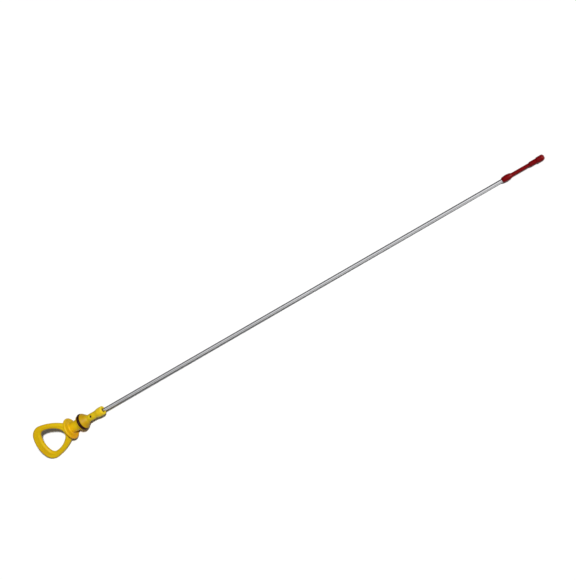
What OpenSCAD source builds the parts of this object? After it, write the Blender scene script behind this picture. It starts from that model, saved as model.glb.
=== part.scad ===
// Engine oil dipstick, lying on a surface as it comes to rest.
//
// A moulded handle has a finger loop, a flange that seats on the mouth of the
// guide tube, a plug with a rubber sealing ring, and a sleeve that grips a long
// steel wire. A second moulding on the far end of the wire carries the level
// marks as steps. Each piece is drawn along +X from the centre of the seat
// face, with the loop in the XY plane, and laid down as one at the end.

/* [Finger loop] */
// Width of the loop over its outer corners
loop_w = 37.2; // [32:0.2:44]
// Length of the loop, from the flange back to the outer edge of the base
loop_l = 42.8; // [38:0.2:52]
// Thickness of the loop, which is also the round of its edges
loop_t = 4.8; // [4:0.2:5.2]
// Depth of the shallow dish between the rounded edges
loop_dish = 0.15; // [0.1:0.05:0.4]
// Width of the bar across the base
base_w = 9.6; // [6.4:0.2:11]
// How far the base is bowed out beyond the corners
base_rise = 1.2; // [0.8:0.1:3]
// Width of the arms where they leave the corners
arm_w = 6.4; // [5.4:0.1:7.4]
// Radius that the outer edges of the arms are bowed to
arm_bow = 60; // [50:1:120]
// Outer radius of the corners
corner_r = 12.4; // [9:0.2:14]
// Radius of the opening's two wide corners
opening_r = 5.8; // [4:0.1:7]
// How far the opening's base edge is bowed out beyond its corners
opening_rise = 1.2; // [0.8:0.1:2.4]
// Radius that the opening's sides are bowed to
opening_bow = 27; // [24:1:80]
// Radius of the opening's narrow end
opening_end_r = 6.6; // [5:0.1:7]
// Solid yoke between the opening and the flange back
yoke_l = 6.4; // [6:0.2:10]
// Radius that the arms' outer edges run to at the flange
yoke_r = 4.2; // [2.8:0.1:5]

/* [Flange and neck] */
// Diameter of the flange that seats on the tube mouth
flange_d = 22.4; // [19:0.2:26]
// Thickness of the flange at its rim
flange_t = 2.8; // [2:0.1:3.4]
// Rise of the cone on the flange back, up to the loop
flange_rise = 1.2; // [0.6:0.1:2]
// Diameter of the neck between the flange and the plug
neck_d = 11; // [8.6:0.2:12]
// Fillet at both ends of the neck
neck_fillet = 1; // [0.5:0.1:1.4]

/* [Plug and seal] */
// Distance from the seat face to the back of the plug
plug_back = 11.5; // [8.5:0.1:13]
// Diameter of the plug's lands
plug_d = 15.8; // [14.2:0.1:16.8]
// Thickness of the rubber ring's section
seal_section = 3.1; // [2.4:0.1:3.4]
// How far the ring stands proud of the lands
seal_proud = 0.8; // [0.2:0.05:1]
// Width of the land on each side of the groove
land_w = 1.2; // [1:0.1:2.4]
// Room in the groove beyond the ring's own width
groove_room = 0.3; // [0.1:0.05:0.6]
// Round on the outer corners of the lands
land_round = 0.5; // [0.3:0.1:0.9]
// Length of the cone from the plug down to the sleeve
cone_l = 5.2; // [4:0.2:8]

/* [Sleeve] */
// Diameter of the sleeve round the wire
sleeve_d = 7.4; // [6.4:0.1:8.2]
// Length of the plain part of the sleeve
sleeve_l = 10; // [7:0.5:14]
// Diameter of the flared end
flare_d = 9.2; // [8.4:0.1:10]
// Length of the taper up to the flared end
flare_taper = 4; // [2.5:0.5:6]
// Length of the flared end
flare_l = 5.6; // [4:0.2:9]
// Round on the flared end's rim
flare_round = 0.8; // [0.4:0.1:1.2]
// Diameter of the dished mouth where the wire comes out
mouth_d = 4.8; // [4.4:0.1:6]
// Depth of the dished mouth
mouth_depth = 1; // [0.5:0.1:2]
// Diameter of the window left by the pin that held the wire in the mould
window_d = 2.6; // [1.4:0.1:3]
// Distance from the foot of the cone to the window
window_along = 4.6; // [1.4:0.1:6]
// Turn of the window about the wire, away from square to the loop
window_turn = 20; // [0:1:40]

/* [Wire] */
// Diameter of the steel wire
rod_d = 3.2; // [2.6:0.1:3.6]
// Free length of the wire, from the sleeve's end to the tip
rod_free = 456.5; // [300:0.5:600]
// Length of wire held inside the handle
rod_in_handle = 26; // [18:0.5:30]
// Length of wire held inside the tip
rod_in_tip = 6.6; // [5:0.2:7]
// Width of each ring groove that keys the wire into the plastic
key_w = 1.2; // [0.8:0.1:1.6]
// Depth of the ring grooves
key_depth = 0.35; // [0.2:0.05:0.5]
// Distance from the wire's end to its first groove
key_back = 1.6; // [1.2:0.1:2]
// Number of ring grooves on the end in the handle
handle_keys = 4; // [2:1:5]
// Chamfer on the wire's ends
rod_chamfer = 0.4; // [0.2:0.1:0.8]

/* [Tip] */
// Diameter of both ends of the tip's barrel
collar_d = 4.4; // [4:0.1:4.8]
// Largest diameter of the bulging barrel, the upper mark
barrel_d = 5.7; // [5:0.1:7]
// Length of the barrel
barrel_l = 8.6; // [7:0.2:11]
// Diameter of the waist between the marks
waist_d = 3.4; // [3:0.1:3.8]
// Length of the waist between the marks
waist_l = 16.8; // [12:0.2:24]
// Diameter of the swell before the end
swell_d = 4.4; // [4:0.1:4.8]
// Length of the swell
swell_l = 8; // [5:0.2:12]
// Diameter of the knob at the very end, the lower mark
knob_d = 5.4; // [5:0.1:6.4]
// Length of the knob
knob_l = 6.4; // [5:0.2:9]
// Round on the end of the knob
knob_round = 2.2; // [1.2:0.1:2.4]
// Length of the taper at each change of diameter
step_l = 0.9; // [0.6:0.1:1.4]

/* [Hidden] */
$fn = 96;

edge_r = loop_t / 2;
// The bends of the loop are a hair fatter than the bars that lap into them
bend_step = 0.02;
bend_lap = 0.3;
flange_back = -flange_t - flange_rise;
base_x = flange_back - loop_l;
corner_x = base_x + base_rise + corner_r;
root_x = -flange_t / 2;
back_r = neck_d / 2 + flange_rise;
seal_r = plug_d / 2 + seal_proud - seal_section / 2;
groove_w = seal_section + groove_room;
groove_x = plug_back + land_w + groove_w / 2;
plug_front = plug_back + 2 * land_w + groove_w;
cone_foot = plug_front + cone_l;
flare_start = cone_foot + sleeve_l;
sleeve_end = flare_start + flare_taper + flare_l;
rod_start = sleeve_end - mouth_depth - rod_in_handle;
tip_start = sleeve_end + rod_free;
rod_end = tip_start + rod_in_tip;
barrel_rise = (barrel_d - collar_d) / 2;
barrel_r = (barrel_l * barrel_l / 4 + barrel_rise * barrel_rise) / (2 * barrel_rise);
barrel_end = tip_start + barrel_l;
waist_start = barrel_end + step_l;
swell_start = waist_start + waist_l;
knob_start = swell_start + swell_l;
tip_end = knob_start + knob_l;
middle_x = (base_x + tip_end) / 2;
// Reach of the shapes that only cut or trim
trim = loop_w + flange_d;

// It rests on three points: the flange's rim, the tip's knob and one corner of the loop.
pitch = asin((flange_d - knob_d) / 2 / (knob_start + knob_l / 2 - root_x));
rest_height = flange_d / 2 / cos(pitch);
corner_height = rest_height + (root_x - corner_x) * sin(pitch);
roll = asin((corner_height - edge_r) / (loop_w / 2 - edge_r));

// An outline of the loop: a bowed base, two wide corners, bowed sides and a narrow end.
// It is [end x, end radius, corner x, corner y, corner radius, base x, side radius].
outer = [root_x, yoke_r, corner_x, loop_w / 2 - corner_r, corner_r, base_x, arm_bow];
opening = [
    flange_back - yoke_l - opening_end_r,
    opening_end_r,
    base_x + base_w + opening_rise + opening_r,
    loop_w / 2 - arm_w - opening_r,
    opening_r,
    base_x + base_w,
    opening_bow
];

// The same outline moved outwards everywhere by a distance, or inwards where it is negative
function grown(o, by) = [o[0], o[1] + by, o[2], o[3], o[4] + by, o[5] - by, o[6] + by];

// Radius of the bowed base that runs smoothly into both corners
function bow_r(o) =
    let (reach = o[2] - o[5])
    (o[3] * o[3] + reach * reach - o[4] * o[4]) / (2 * (reach - o[4]));

function bow_centre(o) = [o[5] + bow_r(o), 0];
function corner_centre(o) = [o[2], o[3]];
function end_centre(o) = [o[0], 0];

// Centre of the bowed side that runs smoothly into the corner and the narrow end
function side_centre(o) =
    let (
        run = end_centre(o) - corner_centre(o),
        to_corner = o[6] - o[4],
        to_end = o[6] - o[1],
        opened = acos((run * run + to_corner * to_corner - to_end * to_end) / (2 * norm(run) * to_corner))
    )
    corner_centre(o) + to_corner * toward(atan2(run[1], run[0]) - opened);

// Directions that the side faces, where it meets the corner and where it meets the narrow end
function side_start(o) = facing(corner_centre(o) - side_centre(o));
function side_end(o) = facing(end_centre(o) - side_centre(o));
function facing(run) = atan2(run[1], run[0]);

// Direction of the point where the corner meets the bowed base
function base_normal(o) =
    facing(corner_centre(o) - bow_centre(o));

function toward(angle) = [cos(angle), sin(angle)];
function flipped(p) = [p[0], -p[1]];

// Flat shape inside an outline
module outline_shape(o) {
    bottom = toward(base_normal(o));
    half = [
        end_centre(o) + o[1] * toward(side_end(o)),
        corner_centre(o) + o[4] * toward(side_start(o)),
        corner_centre(o) + o[4] * bottom
    ];
    translate(end_centre(o)) circle(o[1]);
    polygon(concat(half, [for (i = [2, 1, 0]) flipped(half[i])]));
    for (flip = [0, 1]) mirror([0, flip]) {
        translate(corner_centre(o)) circle(o[4]);
        bulge(side_centre(o), o[6], side_end(o), side_start(o));
    }
    bulge(bow_centre(o), bow_r(o), base_normal(o), 360 - base_normal(o));
}

// Slice of a disc that stands out beyond the chord between two directions
module bulge(centre, r, from, to)
    translate(centre) intersection() {
        circle(r);
        polygon([
            r * toward(from), 2 * r * toward(from), 2 * r * toward((from + to) / 2),
            2 * r * toward(to), r * toward(to)
        ]);
    }

// Round bar along an arc in the XY plane
module arc_bar(centre, r, from, to, thick)
    translate([centre[0], centre[1], 0])
        rotate([0, 0, from])
            rotate_extrude(angle = to - from)
                translate([r, 0]) circle(thick);

// Round bar that follows an outline's base, corners and sides
module edge_bar(o, narrow_end) {
    base_lap = lap_turn(bow_r(o));
    side_lap = lap_turn(o[6]);
    bottom = base_normal(o);
    arc_bar(bow_centre(o), bow_r(o), bottom - base_lap, 360 - bottom + base_lap, edge_r);
    for (flip = [0, 1]) mirror([0, flip, 0]) {
        arc_bar(corner_centre(o), o[4], side_start(o), bottom, edge_r + bend_step);
        arc_bar(side_centre(o), o[6], side_end(o) - side_lap, side_start(o) + side_lap, edge_r);
    }
    if (narrow_end) arc_bar(end_centre(o), o[1], -side_end(o), side_end(o), edge_r + bend_step);
}

// Turn that carries an arc on by the lap
function lap_turn(r) = bend_lap / r * 180 / PI;

// Solid turned about the X axis from a flat profile of [radius, x]
module turned() rotate([0, 90, 0]) rotate([0, 0, 90]) rotate_extrude() children();

// Flat half section of a disc stack between two stations, with a round on its outer corners
module land(r, from, to, round_back, round_front) {
    polygon([
        [0, from], [r - round_back, from], [r, from + round_back],
        [r, to - round_front], [r - round_front, to], [0, to]
    ]);
    if (round_back > 0) translate([r - round_back, from + round_back]) circle(round_back);
    if (round_front > 0) translate([r - round_front, to - round_front]) circle(round_front);
}

// Flat fillet in the corner between a shaft and a face, opening along +1 or -1
module fillet(shaft_r, face_x, r, way)
    translate([shaft_r, face_x]) scale([1, way]) difference() {
        translate([-r, -r]) square(2 * r);
        translate([r, r]) circle(r);
    }

// Ring with a bowed base and two arms, rounded all along its edges
module finger_loop() {
    outer_line = grown(outer, -edge_r);
    opening_line = grown(opening, edge_r);
    translate([0, 0, loop_dish - edge_r]) linear_extrude(loop_t - 2 * loop_dish) difference() {
        outline_shape(outer_line);
        outline_shape(opening_line);
    }
    edge_bar(outer_line, false);
    edge_bar(opening_line, true);
}

module handle_body() {
    difference() {
        finger_loop();
        translate([root_x, -trim, -trim]) cube(2 * trim);
    }
    turned() {
        land(flange_d / 2, -flange_t, 0, flange_t / 2, flange_t / 2);
        polygon([[0, -flange_t], [flange_d / 2 - flange_t / 2, -flange_t], [back_r, flange_back], [0, flange_back]]);
        polygon([[0, 0], [neck_d / 2, 0], [neck_d / 2, plug_back], [0, plug_back]]);
        fillet(neck_d / 2, 0, neck_fillet, 1);
        fillet(neck_d / 2, plug_back, neck_fillet, -1);
        land(plug_d / 2, plug_back, plug_front, land_round, land_round);
        polygon([[0, plug_front], [plug_d / 2 - land_round, plug_front], [sleeve_d / 2, cone_foot], [0, cone_foot]]);
        polygon([
            [0, cone_foot], [sleeve_d / 2, cone_foot], [sleeve_d / 2, flare_start],
            [flare_d / 2, flare_start + flare_taper], [0, flare_start + flare_taper]
        ]);
        land(flare_d / 2, flare_start + flare_taper, sleeve_end, 0, flare_round);
    }
}

module rod_shape() {
    difference() {
        turned() polygon([
            [0, rod_start], [rod_d / 2 - rod_chamfer, rod_start], [rod_d / 2, rod_start + rod_chamfer],
            [rod_d / 2, rod_end - rod_chamfer], [rod_d / 2 - rod_chamfer, rod_end], [0, rod_end]
        ]);
        for (i = [0 : handle_keys - 1]) ring_groove(rod_start + key_back + 2 * i * key_w);
        ring_groove(rod_end - key_back - key_w);
    }
}

// Groove rolled round the wire
module ring_groove(at)
    turned() translate([rod_d / 2 - key_depth, at]) square([rod_d, key_w]);

module handle_shape() {
    difference() {
        handle_body();
        rod_shape();
        turned() translate([seal_r - seal_section / 2, groove_x - groove_w / 2]) square([plug_d, groove_w]);
        turned() polygon([
            [0, sleeve_end - mouth_depth], [rod_d / 2, sleeve_end - mouth_depth],
            [mouth_d / 2, sleeve_end], [mouth_d / 2, sleeve_end + trim], [0, sleeve_end + trim]
        ]);
        translate([cone_foot + window_along, 0, 0]) rotate([-window_turn, 0, 0])
            cylinder(d = window_d, h = 2 * trim, center = true);
    }
}

module tip_shape() {
    difference() {
        turned() {
            intersection() {
                translate([barrel_d / 2 - barrel_r, tip_start + barrel_l / 2]) circle(barrel_r);
                translate([0, tip_start]) square([barrel_d, barrel_l]);
            }
            polygon([
                [0, barrel_end], [collar_d / 2, barrel_end], [waist_d / 2, waist_start],
                [waist_d / 2, swell_start], [swell_d / 2, swell_start + step_l],
                [swell_d / 2, knob_start - step_l], [knob_d / 2, knob_start], [0, knob_start]
            ]);
            intersection() {
                land(knob_d / 2, knob_start, tip_end, 0, knob_round);
                translate([0, knob_start]) square([knob_d, knob_l]);
            }
        }
        rod_shape();
    }
}

module laid_down()
    translate([-middle_x * cos(pitch), 0, rest_height]) rotate([0, pitch, 0]) rotate([roll, 0, 0])
        children();

module handle() color("#d9ae1c") laid_down() handle_shape();

module seal_ring() color("#1c1a18") laid_down()
    turned() translate([seal_r, groove_x]) circle(d = seal_section);

module rod() color("#b4b6b8") laid_down() rod_shape();

module tip() color("#8c1418") laid_down() tip_shape();

handle();
seal_ring();
rod();
tip();
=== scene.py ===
import math
import bmesh
import bpy
from mathutils import Euler, Matrix, Vector


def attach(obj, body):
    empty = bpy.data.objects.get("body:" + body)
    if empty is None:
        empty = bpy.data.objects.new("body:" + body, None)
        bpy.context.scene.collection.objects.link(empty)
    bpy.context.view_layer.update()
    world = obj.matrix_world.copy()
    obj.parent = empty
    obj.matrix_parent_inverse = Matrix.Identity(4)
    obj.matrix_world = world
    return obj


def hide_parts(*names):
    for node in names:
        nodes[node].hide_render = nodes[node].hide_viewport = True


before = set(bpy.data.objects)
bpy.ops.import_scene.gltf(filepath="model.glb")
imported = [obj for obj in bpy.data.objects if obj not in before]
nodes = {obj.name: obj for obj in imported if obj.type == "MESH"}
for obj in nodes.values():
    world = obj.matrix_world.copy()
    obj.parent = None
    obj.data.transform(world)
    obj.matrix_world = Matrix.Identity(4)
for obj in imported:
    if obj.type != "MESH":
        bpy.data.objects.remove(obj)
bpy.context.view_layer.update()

mm = 0.001
mergeGap = 0.002 * mm  # vertices nearer than this are joined

# Nearly all values of a noise texture lie between these two
noiseLow = 0.3
noiseHigh = 0.7

# How the dipstick lies: the seat's centre in mm, the wire's slope down to the tip and the loop's turn about
# the wire in degrees. New pieces are drawn with X down the wire from the seat, then laid down by lieMatrix.
lie = {"seat": (-246.219, 0.0, 11.2014), "slope": 0.906111, "turn": 35.0533}
lieMatrix = (Matrix.Translation(Vector(lie["seat"]) * mm)
             @ Matrix.Rotation(math.radians(lie["slope"]), 4, "Y")
             @ Matrix.Rotation(math.radians(lie["turn"]), 4, "X"))

# Mapping that turns a texture back again: X runs down the wire from the seat, Z is square to the loop
turnBack = {"vector_type": "TEXTURE", "Location": lieMatrix.to_translation(),
            "Rotation": lieMatrix.to_euler()}


def tint(hexColour):
    # sRGB hex to linear, with alpha
    parts = [int(hexColour[i:i + 2], 16) / 255 for i in (1, 3, 5)]
    return tuple(p / 12.92 if p <= 0.04045 else ((p + 0.055) / 1.055) ** 2.4 for p in parts) + (1.0,)


def perMm(size):
    # texture scale, per metre, of a pattern that repeats about every so many millimetres
    return 1.0 / (size * mm)


def newMaterial(name):
    material = bpy.data.materials.new(name)
    material.use_nodes = True
    material.node_tree.nodes.clear()
    return material


def put(owner, kind, settings=None, links=None):
    # adds one node; settings go to its sockets or properties, links bring in the outputs of other nodes
    node = owner.node_tree.nodes.new(kind)
    for key, value in (settings or {}).items():
        if isinstance(key, int) or key in node.inputs:
            node.inputs[key].default_value = value
        else:
            setattr(node, key, value)
    for key, source in (links or {}).items():
        owner.node_tree.links.new(source, node.inputs[key])
    return node


def dress(piece, material):
    piece.data.materials.clear()
    piece.data.materials.append(material)


def newPiece(name, shape, smooth=True):
    # makes an object at the origin from a finished bmesh
    bmesh.ops.recalc_face_normals(shape, faces=shape.faces)
    mesh = bpy.data.meshes.new(name)
    shape.to_mesh(mesh)
    shape.free()
    for face in mesh.polygons:
        face.use_smooth = smooth
    piece = bpy.data.objects.new(name, mesh)
    bpy.context.scene.collection.objects.link(piece)
    return piece


# Handle: one moulding. The imported shape is fused, and its corners are softened as a mould leaves them. Its
# yellow nylon was injection moulded in a spark-finished tool: satin, with slow flow marks and a faint
# parting line round the loop. Painted amber shade lies in the corner between flange and neck, the plug is
# coloured darker brown, and the thin sleeve is paler. Sizes in mm.
handleSettings = {
    "voxel": 0.34, "softening": 0.5, "passes": 5,
    # colours at distances along the wire from the seat
    "bands": [(-47, "#c59b06"), (-36, "#cea906"), (-9, "#cfab07"), (-3, "#d6ad07"), (3, "#d6ad07"),
              (9, "#ccaa07"), (12, "#be9805"), (20, "#b58d04"), (26, "#cfb312"), (42, "#e2c21e")],
    # the painted amber shade, standing for light bounced in the shaded corner, fades out across the loop and
    # along the wire, and is broken by patches
    "paintedAmberShade": "#d87f09", "paintedShadeDeepest": 0.55, "paintedShadeAcross": (-8, 4), "paintedShadeAlong": (3.5, 8.5),
    "patchFrom": 0.35, "patchTo": 0.6, "patchLeast": 0.4,
    "flowSize": 14.0, "flowHue": 0.006, "flowShade": 0.05,
    "grainSize": 0.9, "grainShare": 0.06,  # its height as a share of the parting line's
    "partingWidth": 0.16, "partingHeight": 0.06,
    "smoothest": 0.45, "roughest": 0.57, "gloss": 0.15, "glow": 0.1, "glowDepth": 2.2}


def makeHandle():
    form = handleSettings
    shape = bmesh.new()
    shape.from_mesh(nodes["handle"].data)
    bmesh.ops.remove_doubles(shape, verts=shape.verts, dist=mergeGap)
    draft = newPiece("handleDraft", shape)
    fuse = draft.modifiers.new("fuse", "REMESH")
    fuse.mode = "VOXEL"
    fuse.voxel_size = form["voxel"] * mm
    soften = draft.modifiers.new("soften", "SMOOTH")
    soften.factor = form["softening"]
    soften.iterations = form["passes"]
    softened = draft.evaluated_get(bpy.context.evaluated_depsgraph_get())
    shape = bmesh.new()
    shape.from_mesh(softened.to_mesh())
    bpy.data.objects.remove(draft)
    return newPiece("mouldedHandle", shape)


def yellowNylon():
    look = handleSettings
    nylon = newMaterial("mouldedYellowNylon")
    coords = put(nylon, "ShaderNodeTexCoord")
    turned = put(nylon, "ShaderNodeMapping", turnBack, {"Vector": coords.outputs["Object"]})
    place = put(nylon, "ShaderNodeSeparateXYZ", {}, {"Vector": turned.outputs["Vector"]})
    flow = put(nylon, "ShaderNodeTexNoise",
               {"Scale": perMm(look["flowSize"]), "Detail": 2.0, "Distortion": 0.6},
               {"Vector": coords.outputs["Object"]})

    # bands of colour along the wire
    first = look["bands"][0][0]
    last = look["bands"][-1][0]
    along = put(nylon, "ShaderNodeMapRange", {"From Min": first * mm, "From Max": last * mm},
                {"Value": place.outputs["X"]})
    banded = put(nylon, "ShaderNodeValToRGB", {}, {"Fac": along.outputs["Result"]})
    marks = banded.color_ramp.elements
    marks[0].color = tint(look["bands"][0][1])
    marks[1].color = tint(look["bands"][-1][1])
    for spot, colour in look["bands"][1:-1]:
        marks.new((spot - first) / (last - first)).color = tint(colour)

    # painted amber shade in the corner between flange and neck, deepest on the flange, on the side that the
    # loop rests on
    low = put(nylon, "ShaderNodeMapRange",
              {"From Min": look["paintedShadeAcross"][0] * mm, "From Max": look["paintedShadeAcross"][1] * mm,
               "To Min": look["paintedShadeDeepest"], "To Max": 0.0}, {"Value": place.outputs["Y"]})
    reach = put(nylon, "ShaderNodeMath", {"operation": "ABSOLUTE"}, {0: place.outputs["X"]})
    near = put(nylon, "ShaderNodeMapRange",
               {"From Min": look["paintedShadeAlong"][0] * mm, "From Max": look["paintedShadeAlong"][1] * mm,
                "To Min": 1.0, "To Max": 0.0}, {"Value": reach.outputs["Value"]})
    patchy = put(nylon, "ShaderNodeMapRange",
                 {"From Min": look["patchFrom"], "From Max": look["patchTo"], "To Min": look["patchLeast"]},
                 {"Value": flow.outputs["Fac"]})
    paintedShade = put(nylon, "ShaderNodeMath", {"operation": "MULTIPLY"},
                {0: low.outputs["Result"], 1: near.outputs["Result"]})
    patched = put(nylon, "ShaderNodeMath", {"operation": "MULTIPLY"},
                  {0: paintedShade.outputs["Value"], 1: patchy.outputs["Result"]})
    withPaintedShade = put(nylon, "ShaderNodeMix", {"data_type": "RGBA", 7: tint(look["paintedAmberShade"])},
                  {0: patched.outputs["Value"], 6: banded.outputs["Color"]})

    # flow marks shift the hue and the shade a little
    hue = put(nylon, "ShaderNodeMapRange",
              {"From Min": noiseLow, "From Max": noiseHigh,
               "To Min": 0.5 - look["flowHue"], "To Max": 0.5 + look["flowHue"]},
              {"Value": flow.outputs["Fac"]})
    shade = put(nylon, "ShaderNodeMapRange",
                {"From Min": noiseLow, "From Max": noiseHigh, "To Min": 1.0 - look["flowShade"]},
                {"Value": flow.outputs["Fac"]})
    marbled = put(nylon, "ShaderNodeHueSaturation", {},
                  {"Color": withPaintedShade.outputs[2], "Hue": hue.outputs["Result"],
                   "Value": shade.outputs["Result"]})

    # spark-finish grain; the real one is finer, about 0.1 mm
    grain = put(nylon, "ShaderNodeTexNoise", {"Scale": perMm(look["grainSize"]), "Detail": 3.0},
                {"Vector": coords.outputs["Object"]})
    rough = put(nylon, "ShaderNodeMapRange",
                {"From Min": noiseLow, "From Max": noiseHigh,
                 "To Min": look["smoothest"], "To Max": look["roughest"]}, {"Value": grain.outputs["Fac"]})

    # parting line on the loop's middle plane, raised above the grain
    away = put(nylon, "ShaderNodeMath", {"operation": "ABSOLUTE"}, {0: place.outputs["Z"]})
    line = put(nylon, "ShaderNodeMapRange",
               {"From Min": 0.0, "From Max": look["partingWidth"] * mm, "To Min": 1.0, "To Max": 0.0},
               {"Value": away.outputs["Value"]})
    height = put(nylon, "ShaderNodeMath", {"operation": "MULTIPLY_ADD", 1: look["grainShare"]},
                 {0: grain.outputs["Fac"], 2: line.outputs["Result"]})
    bump = put(nylon, "ShaderNodeBump", {"Strength": 0.5, "Distance": look["partingHeight"] * mm},
               {"Height": height.outputs["Value"]})

    body = put(nylon, "ShaderNodeBsdfPrincipled",
               {"IOR": 1.53, "Specular IOR Level": look["gloss"], "Subsurface Weight": look["glow"],
                "Subsurface Radius": (1.0, 0.32, 0.04), "Subsurface Scale": look["glowDepth"] * mm},
               {"Base Color": marbled.outputs["Color"], "Roughness": rough.outputs["Result"],
                "Normal": bump.outputs["Normal"]})
    put(nylon, "ShaderNodeOutputMaterial", {}, {"Surface": body.outputs["BSDF"]})
    return nylon


handle = makeHandle()
dress(handle, yellowNylon())
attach(handle, "root")
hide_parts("handle")
print("handle", len(handle.data.polygons), "faces")

# Sealing ring: a plain round section, spun. Its nitrile rubber is moulded and lightly oiled: brown-black,
# with a soft broad gloss. Sizes in mm.
ringSettings = {
    "along": 14.4, "centreRadius": 7.15, "section": 3.1, "sectionSteps": 28, "steps": 96,
    "black": "#200803", "dry": "#2b0d05", "patchSize": 3.0,
    "smoothest": 0.42, "roughest": 0.62, "gloss": 0.09}


def makeRing():
    form = ringSettings
    shape = bmesh.new()
    place = (Matrix.Translation((form["along"] * mm, 0, form["centreRadius"] * mm))
             @ Matrix.Rotation(math.pi / 2, 4, "X"))
    bmesh.ops.create_circle(shape, segments=form["sectionSteps"], radius=form["section"] / 2 * mm,
                            matrix=place)
    bmesh.ops.spin(shape, geom=shape.verts[:] + shape.edges[:], cent=(0, 0, 0), axis=(1, 0, 0),
                   angle=math.tau, steps=form["steps"], use_merge=True)
    bmesh.ops.remove_doubles(shape, verts=shape.verts, dist=mergeGap)
    bmesh.ops.transform(shape, matrix=lieMatrix, verts=shape.verts)
    return newPiece("rubberSealRing", shape)


def nitrileRubber():
    look = ringSettings
    rubber = newMaterial("nitrileRubber")
    coords = put(rubber, "ShaderNodeTexCoord")
    oil = put(rubber, "ShaderNodeTexNoise", {"Scale": perMm(look["patchSize"]), "Detail": 3.0},
              {"Vector": coords.outputs["Object"]})
    colour = put(rubber, "ShaderNodeMix",
                 {"data_type": "RGBA", 6: tint(look["black"]), 7: tint(look["dry"])},
                 {0: oil.outputs["Fac"]})
    rough = put(rubber, "ShaderNodeMapRange",
                {"From Min": noiseLow, "From Max": noiseHigh,
                 "To Min": look["smoothest"], "To Max": look["roughest"]}, {"Value": oil.outputs["Fac"]})
    body = put(rubber, "ShaderNodeBsdfPrincipled", {"IOR": 1.52, "Specular IOR Level": look["gloss"]},
               {"Base Color": colour.outputs[2], "Roughness": rough.outputs["Result"]})
    put(rubber, "ShaderNodeOutputMaterial", {}, {"Surface": body.outputs["BSDF"]})
    return rubber


ring = makeRing()
dress(ring, nitrileRubber())
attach(ring, "root")
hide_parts("seal_ring")
print("sealing ring", len(ring.data.polygons), "faces")

# Tip: a stepped moulding, spun from its half outline, whose points are (along, radius) from the bore's
# mouth. Its red nylon was injection moulded: deep, even red with a satin skin. Sizes in mm and degrees.
tipSettings = {
    "start": 498.6, "bore": 1.605, "boreDepth": 6.6, "boreMargin": 0.02,
    "barrelLength": 8.6, "barrelBow": 14.548, "barrelRadius": 2.85,
    "outline": [(9.5, 1.7), (26.3, 1.7), (27.2, 2.2), (33.4, 2.2), (34.3, 2.7)],
    "knobEnd": 40.7, "knobRadius": 2.7, "knobRound": 2.2,
    "arcSteps": 8, "steps": 72, "softEdge": 0.16, "sharpAngle": 18, "edgeSteps": 3,
    "red": "#7d0106", "deep": "#640105", "flowSize": 6.0, "smoothest": 0.31, "roughest": 0.44, "gloss": 0.1}


def tipOutline():
    # from the bore's bottom, round its mouth, over the bowed barrel and along to the rounded knob
    form = tipSettings
    arc = form["arcSteps"]
    middle = form["barrelLength"] / 2
    barrel = []
    for i in range(-arc, arc + 1):
        away = middle * i / arc
        rise = math.sqrt(form["barrelBow"] ** 2 - away ** 2)
        barrel.append((middle + away, form["barrelRadius"] - form["barrelBow"] + rise))
    roundFrom = form["knobEnd"] - form["knobRound"]
    knob = []
    for i in range(arc + 1):
        angle = math.pi / 2 * i / arc
        knob.append((roundFrom + form["knobRound"] * math.sin(angle),
                     form["knobRadius"] - form["knobRound"] * (1 - math.cos(angle))))
    bore = [(form["boreDepth"], 0), (form["boreDepth"], form["bore"]), (0, form["bore"])]
    return bore + barrel + form["outline"] + knob + [(form["knobEnd"], 0)]


def makeTip():
    form = tipSettings
    shape = bmesh.new()
    chain = [shape.verts.new(((form["start"] + x) * mm, 0, r * mm)) for x, r in tipOutline()]
    edges = [shape.edges.new(pair) for pair in zip(chain, chain[1:])]
    bmesh.ops.spin(shape, geom=chain + edges, cent=(0, 0, 0), axis=(1, 0, 0), angle=math.tau,
                   steps=form["steps"], use_merge=True)
    bmesh.ops.remove_doubles(shape, verts=shape.verts, dist=mergeGap)
    bmesh.ops.recalc_face_normals(shape, faces=shape.faces)
    outside = (form["bore"] + form["boreMargin"]) * mm  # the bore's own edges stay sharp
    sharp = [edge for edge in shape.edges
             if len(edge.link_faces) == 2
             and edge.calc_face_angle(0) > math.radians(form["sharpAngle"])
             and min(vert.co.yz.length for vert in edge.verts) > outside]
    bmesh.ops.bevel(shape, geom=sharp, offset=form["softEdge"] * mm, segments=form["edgeSteps"],
                    profile=0.5, affect="EDGES", material=-1)
    bmesh.ops.transform(shape, matrix=lieMatrix, verts=shape.verts)
    return newPiece("mouldedTip", shape)


def redNylon():
    look = tipSettings
    nylon = newMaterial("mouldedRedNylon")
    coords = put(nylon, "ShaderNodeTexCoord")
    flow = put(nylon, "ShaderNodeTexNoise", {"Scale": perMm(look["flowSize"]), "Detail": 3.0},
               {"Vector": coords.outputs["Object"]})
    colour = put(nylon, "ShaderNodeMix",
                 {"data_type": "RGBA", 6: tint(look["deep"]), 7: tint(look["red"])},
                 {0: flow.outputs["Fac"]})
    rough = put(nylon, "ShaderNodeMapRange",
                {"From Min": noiseLow, "From Max": noiseHigh,
                 "To Min": look["smoothest"], "To Max": look["roughest"]}, {"Value": flow.outputs["Fac"]})
    body = put(nylon, "ShaderNodeBsdfPrincipled", {"IOR": 1.53, "Specular IOR Level": look["gloss"]},
               {"Base Color": colour.outputs[2], "Roughness": rough.outputs["Result"]})
    put(nylon, "ShaderNodeOutputMaterial", {}, {"Surface": body.outputs["BSDF"]})
    return nylon


tip = makeTip()
dress(tip, redNylon())
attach(tip, "root")
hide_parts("tip")
print("tip", len(tip.data.polygons), "faces")
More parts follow.
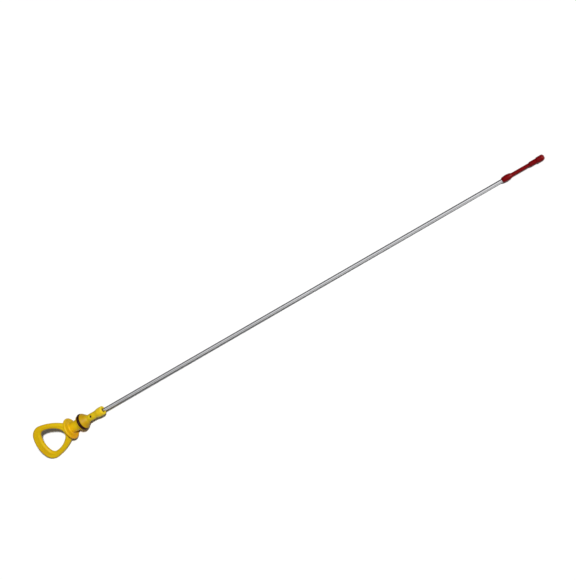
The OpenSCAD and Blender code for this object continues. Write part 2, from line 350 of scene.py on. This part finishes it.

# Wire: the CAD node itself, in cold drawn steel. Bright, with fine scratches along its length and slow dull
# patches. Inside the sleeve, where the window and the mouth show it, it is painted dark as shade and made
# matt.
# Sizes in mm.
wireSettings = {
    "steel": "#c6c6c8", "dull": "#a9aaac", "patchSize": 26.0,
    # the dark steel inside the sleeve is painted shade
    "paintedDarkSteel": "#38332a", "paintedDarkTo": 41.6, "bareFrom": 43.0, "insideRoughness": 0.6,
    "scratchWide": 0.25, "scratchLong": 30.0, "scratchDepth": 0.01, "smoothest": 0.1, "roughest": 0.26}


def drawnSteel():
    look = wireSettings
    steel = newMaterial("drawnSteelWire")
    coords = put(steel, "ShaderNodeTexCoord")
    turned = put(steel, "ShaderNodeMapping", turnBack, {"Vector": coords.outputs["Object"]})
    place = put(steel, "ShaderNodeSeparateXYZ", {}, {"Vector": turned.outputs["Vector"]})
    patches = put(steel, "ShaderNodeTexNoise", {"Scale": perMm(look["patchSize"]), "Detail": 4.0},
                  {"Vector": coords.outputs["Object"]})
    bareSteel = put(steel, "ShaderNodeMix",
                {"data_type": "RGBA", 6: tint(look["dull"]), 7: tint(look["steel"])},
                {0: patches.outputs["Fac"]})

    # a scratch and the gap beside it make one repeat; real scratches are finer, about 0.02 mm
    drawn = put(steel, "ShaderNodeMapping", {"Scale": (look["scratchWide"] / look["scratchLong"], 1, 1)},
                {"Vector": turned.outputs["Vector"]})
    scratches = put(steel, "ShaderNodeTexNoise", {"Scale": perMm(look["scratchWide"] * 2), "Detail": 2.0},
                    {"Vector": drawn.outputs["Vector"]})
    polish = put(steel, "ShaderNodeMapRange",
                 {"From Min": noiseLow, "From Max": noiseHigh,
                  "To Min": look["smoothest"], "To Max": look["roughest"]},
                 {"Value": scratches.outputs["Fac"]})
    bump = put(steel, "ShaderNodeBump", {"Strength": 0.25, "Distance": look["scratchDepth"] * mm},
               {"Height": scratches.outputs["Fac"]})

    # painted shade: dark and matt inside the sleeve
    inside = put(steel, "ShaderNodeMapRange",
                 {"From Min": look["paintedDarkTo"] * mm, "From Max": look["bareFrom"] * mm,
                  "To Min": 1.0, "To Max": 0.0}, {"Value": place.outputs["X"]})
    colour = put(steel, "ShaderNodeMix", {"data_type": "RGBA", 7: tint(look["paintedDarkSteel"])},
                 {0: inside.outputs["Result"], 6: bareSteel.outputs[2]})
    rough = put(steel, "ShaderNodeMix", {"data_type": "FLOAT", 3: look["insideRoughness"]},
                {0: inside.outputs["Result"], 2: polish.outputs["Result"]})
    body = put(steel, "ShaderNodeBsdfPrincipled", {"Metallic": 1.0},
               {"Base Color": colour.outputs[2], "Roughness": rough.outputs[0],
                "Normal": bump.outputs["Normal"]})
    put(steel, "ShaderNodeOutputMaterial", {}, {"Surface": body.outputs["BSDF"]})
    return steel


dress(nodes["rod"], drawnSteel())
print("wire dressed")

# Floor: plain white paper. The camera and mirrored rays see it white, and it throws less light back on the
# object. Reach in metres.
paperSettings = {"reach": 6.0, "white": "#ffffff", "thrownBack": "#aaaaaa"}
sheet = bmesh.new()
bmesh.ops.create_grid(sheet, x_segments=1, y_segments=1, size=paperSettings["reach"])
floor = newPiece("floor", sheet, smooth=False)
paper = newMaterial("whitePaper")
ray = put(paper, "ShaderNodeLightPath")
mirrored = put(paper, "ShaderNodeMath", {"operation": "MAXIMUM"},
               {0: ray.outputs["Is Glossy Ray"], 1: ray.outputs["Is Transmission Ray"]})
seen = put(paper, "ShaderNodeMath", {"operation": "MAXIMUM"},
           {0: ray.outputs["Is Camera Ray"], 1: mirrored.outputs["Value"]})
tone = put(paper, "ShaderNodeMix",
           {"data_type": "RGBA", 6: tint(paperSettings["thrownBack"]), 7: tint(paperSettings["white"])},
           {0: seen.outputs["Value"]})
matte = put(paper, "ShaderNodeBsdfDiffuse", {}, {"Color": tone.outputs[2]})
put(paper, "ShaderNodeOutputMaterial", {}, {"Surface": matte.outputs["BSDF"]})
dress(floor, paper)

# Studio: a key lamp a little above the camera, in a dim room that the camera sees white. Mirrored rays also
# meet a round softbox above and in front, whose edge and middle are cosines of the angle from its centre.
studio = {
    "keyTowards": (0.5753, -0.2047, 0.7919), "keyStrength": 3.75, "keyAngle": 5.0,
    "white": "#ffffff", "room": 0.085, "roomSeen": 1.0,
    "softboxTowards": (0.0, -0.5, 0.866), "softboxEdge": 0.62, "softboxMiddle": 0.9,
    "besideSoftbox": 0.12, "softbox": 1.5}
lamp = bpy.data.lights.new("key", "SUN")
lamp.energy = studio["keyStrength"]
lamp.angle = math.radians(studio["keyAngle"])
key = bpy.data.objects.new("key", lamp)
key.rotation_euler = Vector(studio["keyTowards"]).to_track_quat("Z", "Y").to_euler()
bpy.context.scene.collection.objects.link(key)

room = bpy.data.worlds.new("room")
bpy.context.scene.world = room
room.use_nodes = True
room.node_tree.nodes.clear()
ray = put(room, "ShaderNodeLightPath")
way = put(room, "ShaderNodeTexCoord")
facing = put(room, "ShaderNodeVectorMath", {"operation": "DOT_PRODUCT", 1: studio["softboxTowards"]},
             {0: way.outputs["Generated"]})
softbox = put(room, "ShaderNodeMapRange",
              {"From Min": studio["softboxEdge"], "From Max": studio["softboxMiddle"],
               "To Min": studio["besideSoftbox"], "To Max": studio["softbox"]},
              {"Value": facing.outputs["Value"]})
lit = put(room, "ShaderNodeMix", {"data_type": "FLOAT", 2: studio["room"]},
          {0: ray.outputs["Is Glossy Ray"], 3: softbox.outputs["Result"]})
strength = put(room, "ShaderNodeMix", {"data_type": "FLOAT", 3: studio["roomSeen"]},
               {0: ray.outputs["Is Camera Ray"], 2: lit.outputs[0]})
light = put(room, "ShaderNodeBackground", {"Color": tint(studio["white"])},
            {"Strength": strength.outputs[0]})
put(room, "ShaderNodeOutputWorld", {}, {"Surface": light.outputs["Background"]})

# Camera at the photograph's angle: place in metres, turn in degrees, lens and sensor in mm
view = {"place": (0.47381, -0.47604, 0.95835), "turn": (14.9335, 31.784, -20.7799),
        "lens": 77.586, "sensor": 36.0}
lens = bpy.data.cameras.new("camera")
lens.lens = view["lens"]
lens.sensor_width = view["sensor"]
camera = bpy.data.objects.new("camera", lens)
camera.location = view["place"]
camera.rotation_euler = Euler([math.radians(angle) for angle in view["turn"]], "XYZ")
bpy.context.scene.collection.objects.link(camera)
bpy.context.scene.camera = camera
bpy.context.scene.view_settings.view_transform = "Standard"
print("stage, light and camera set")
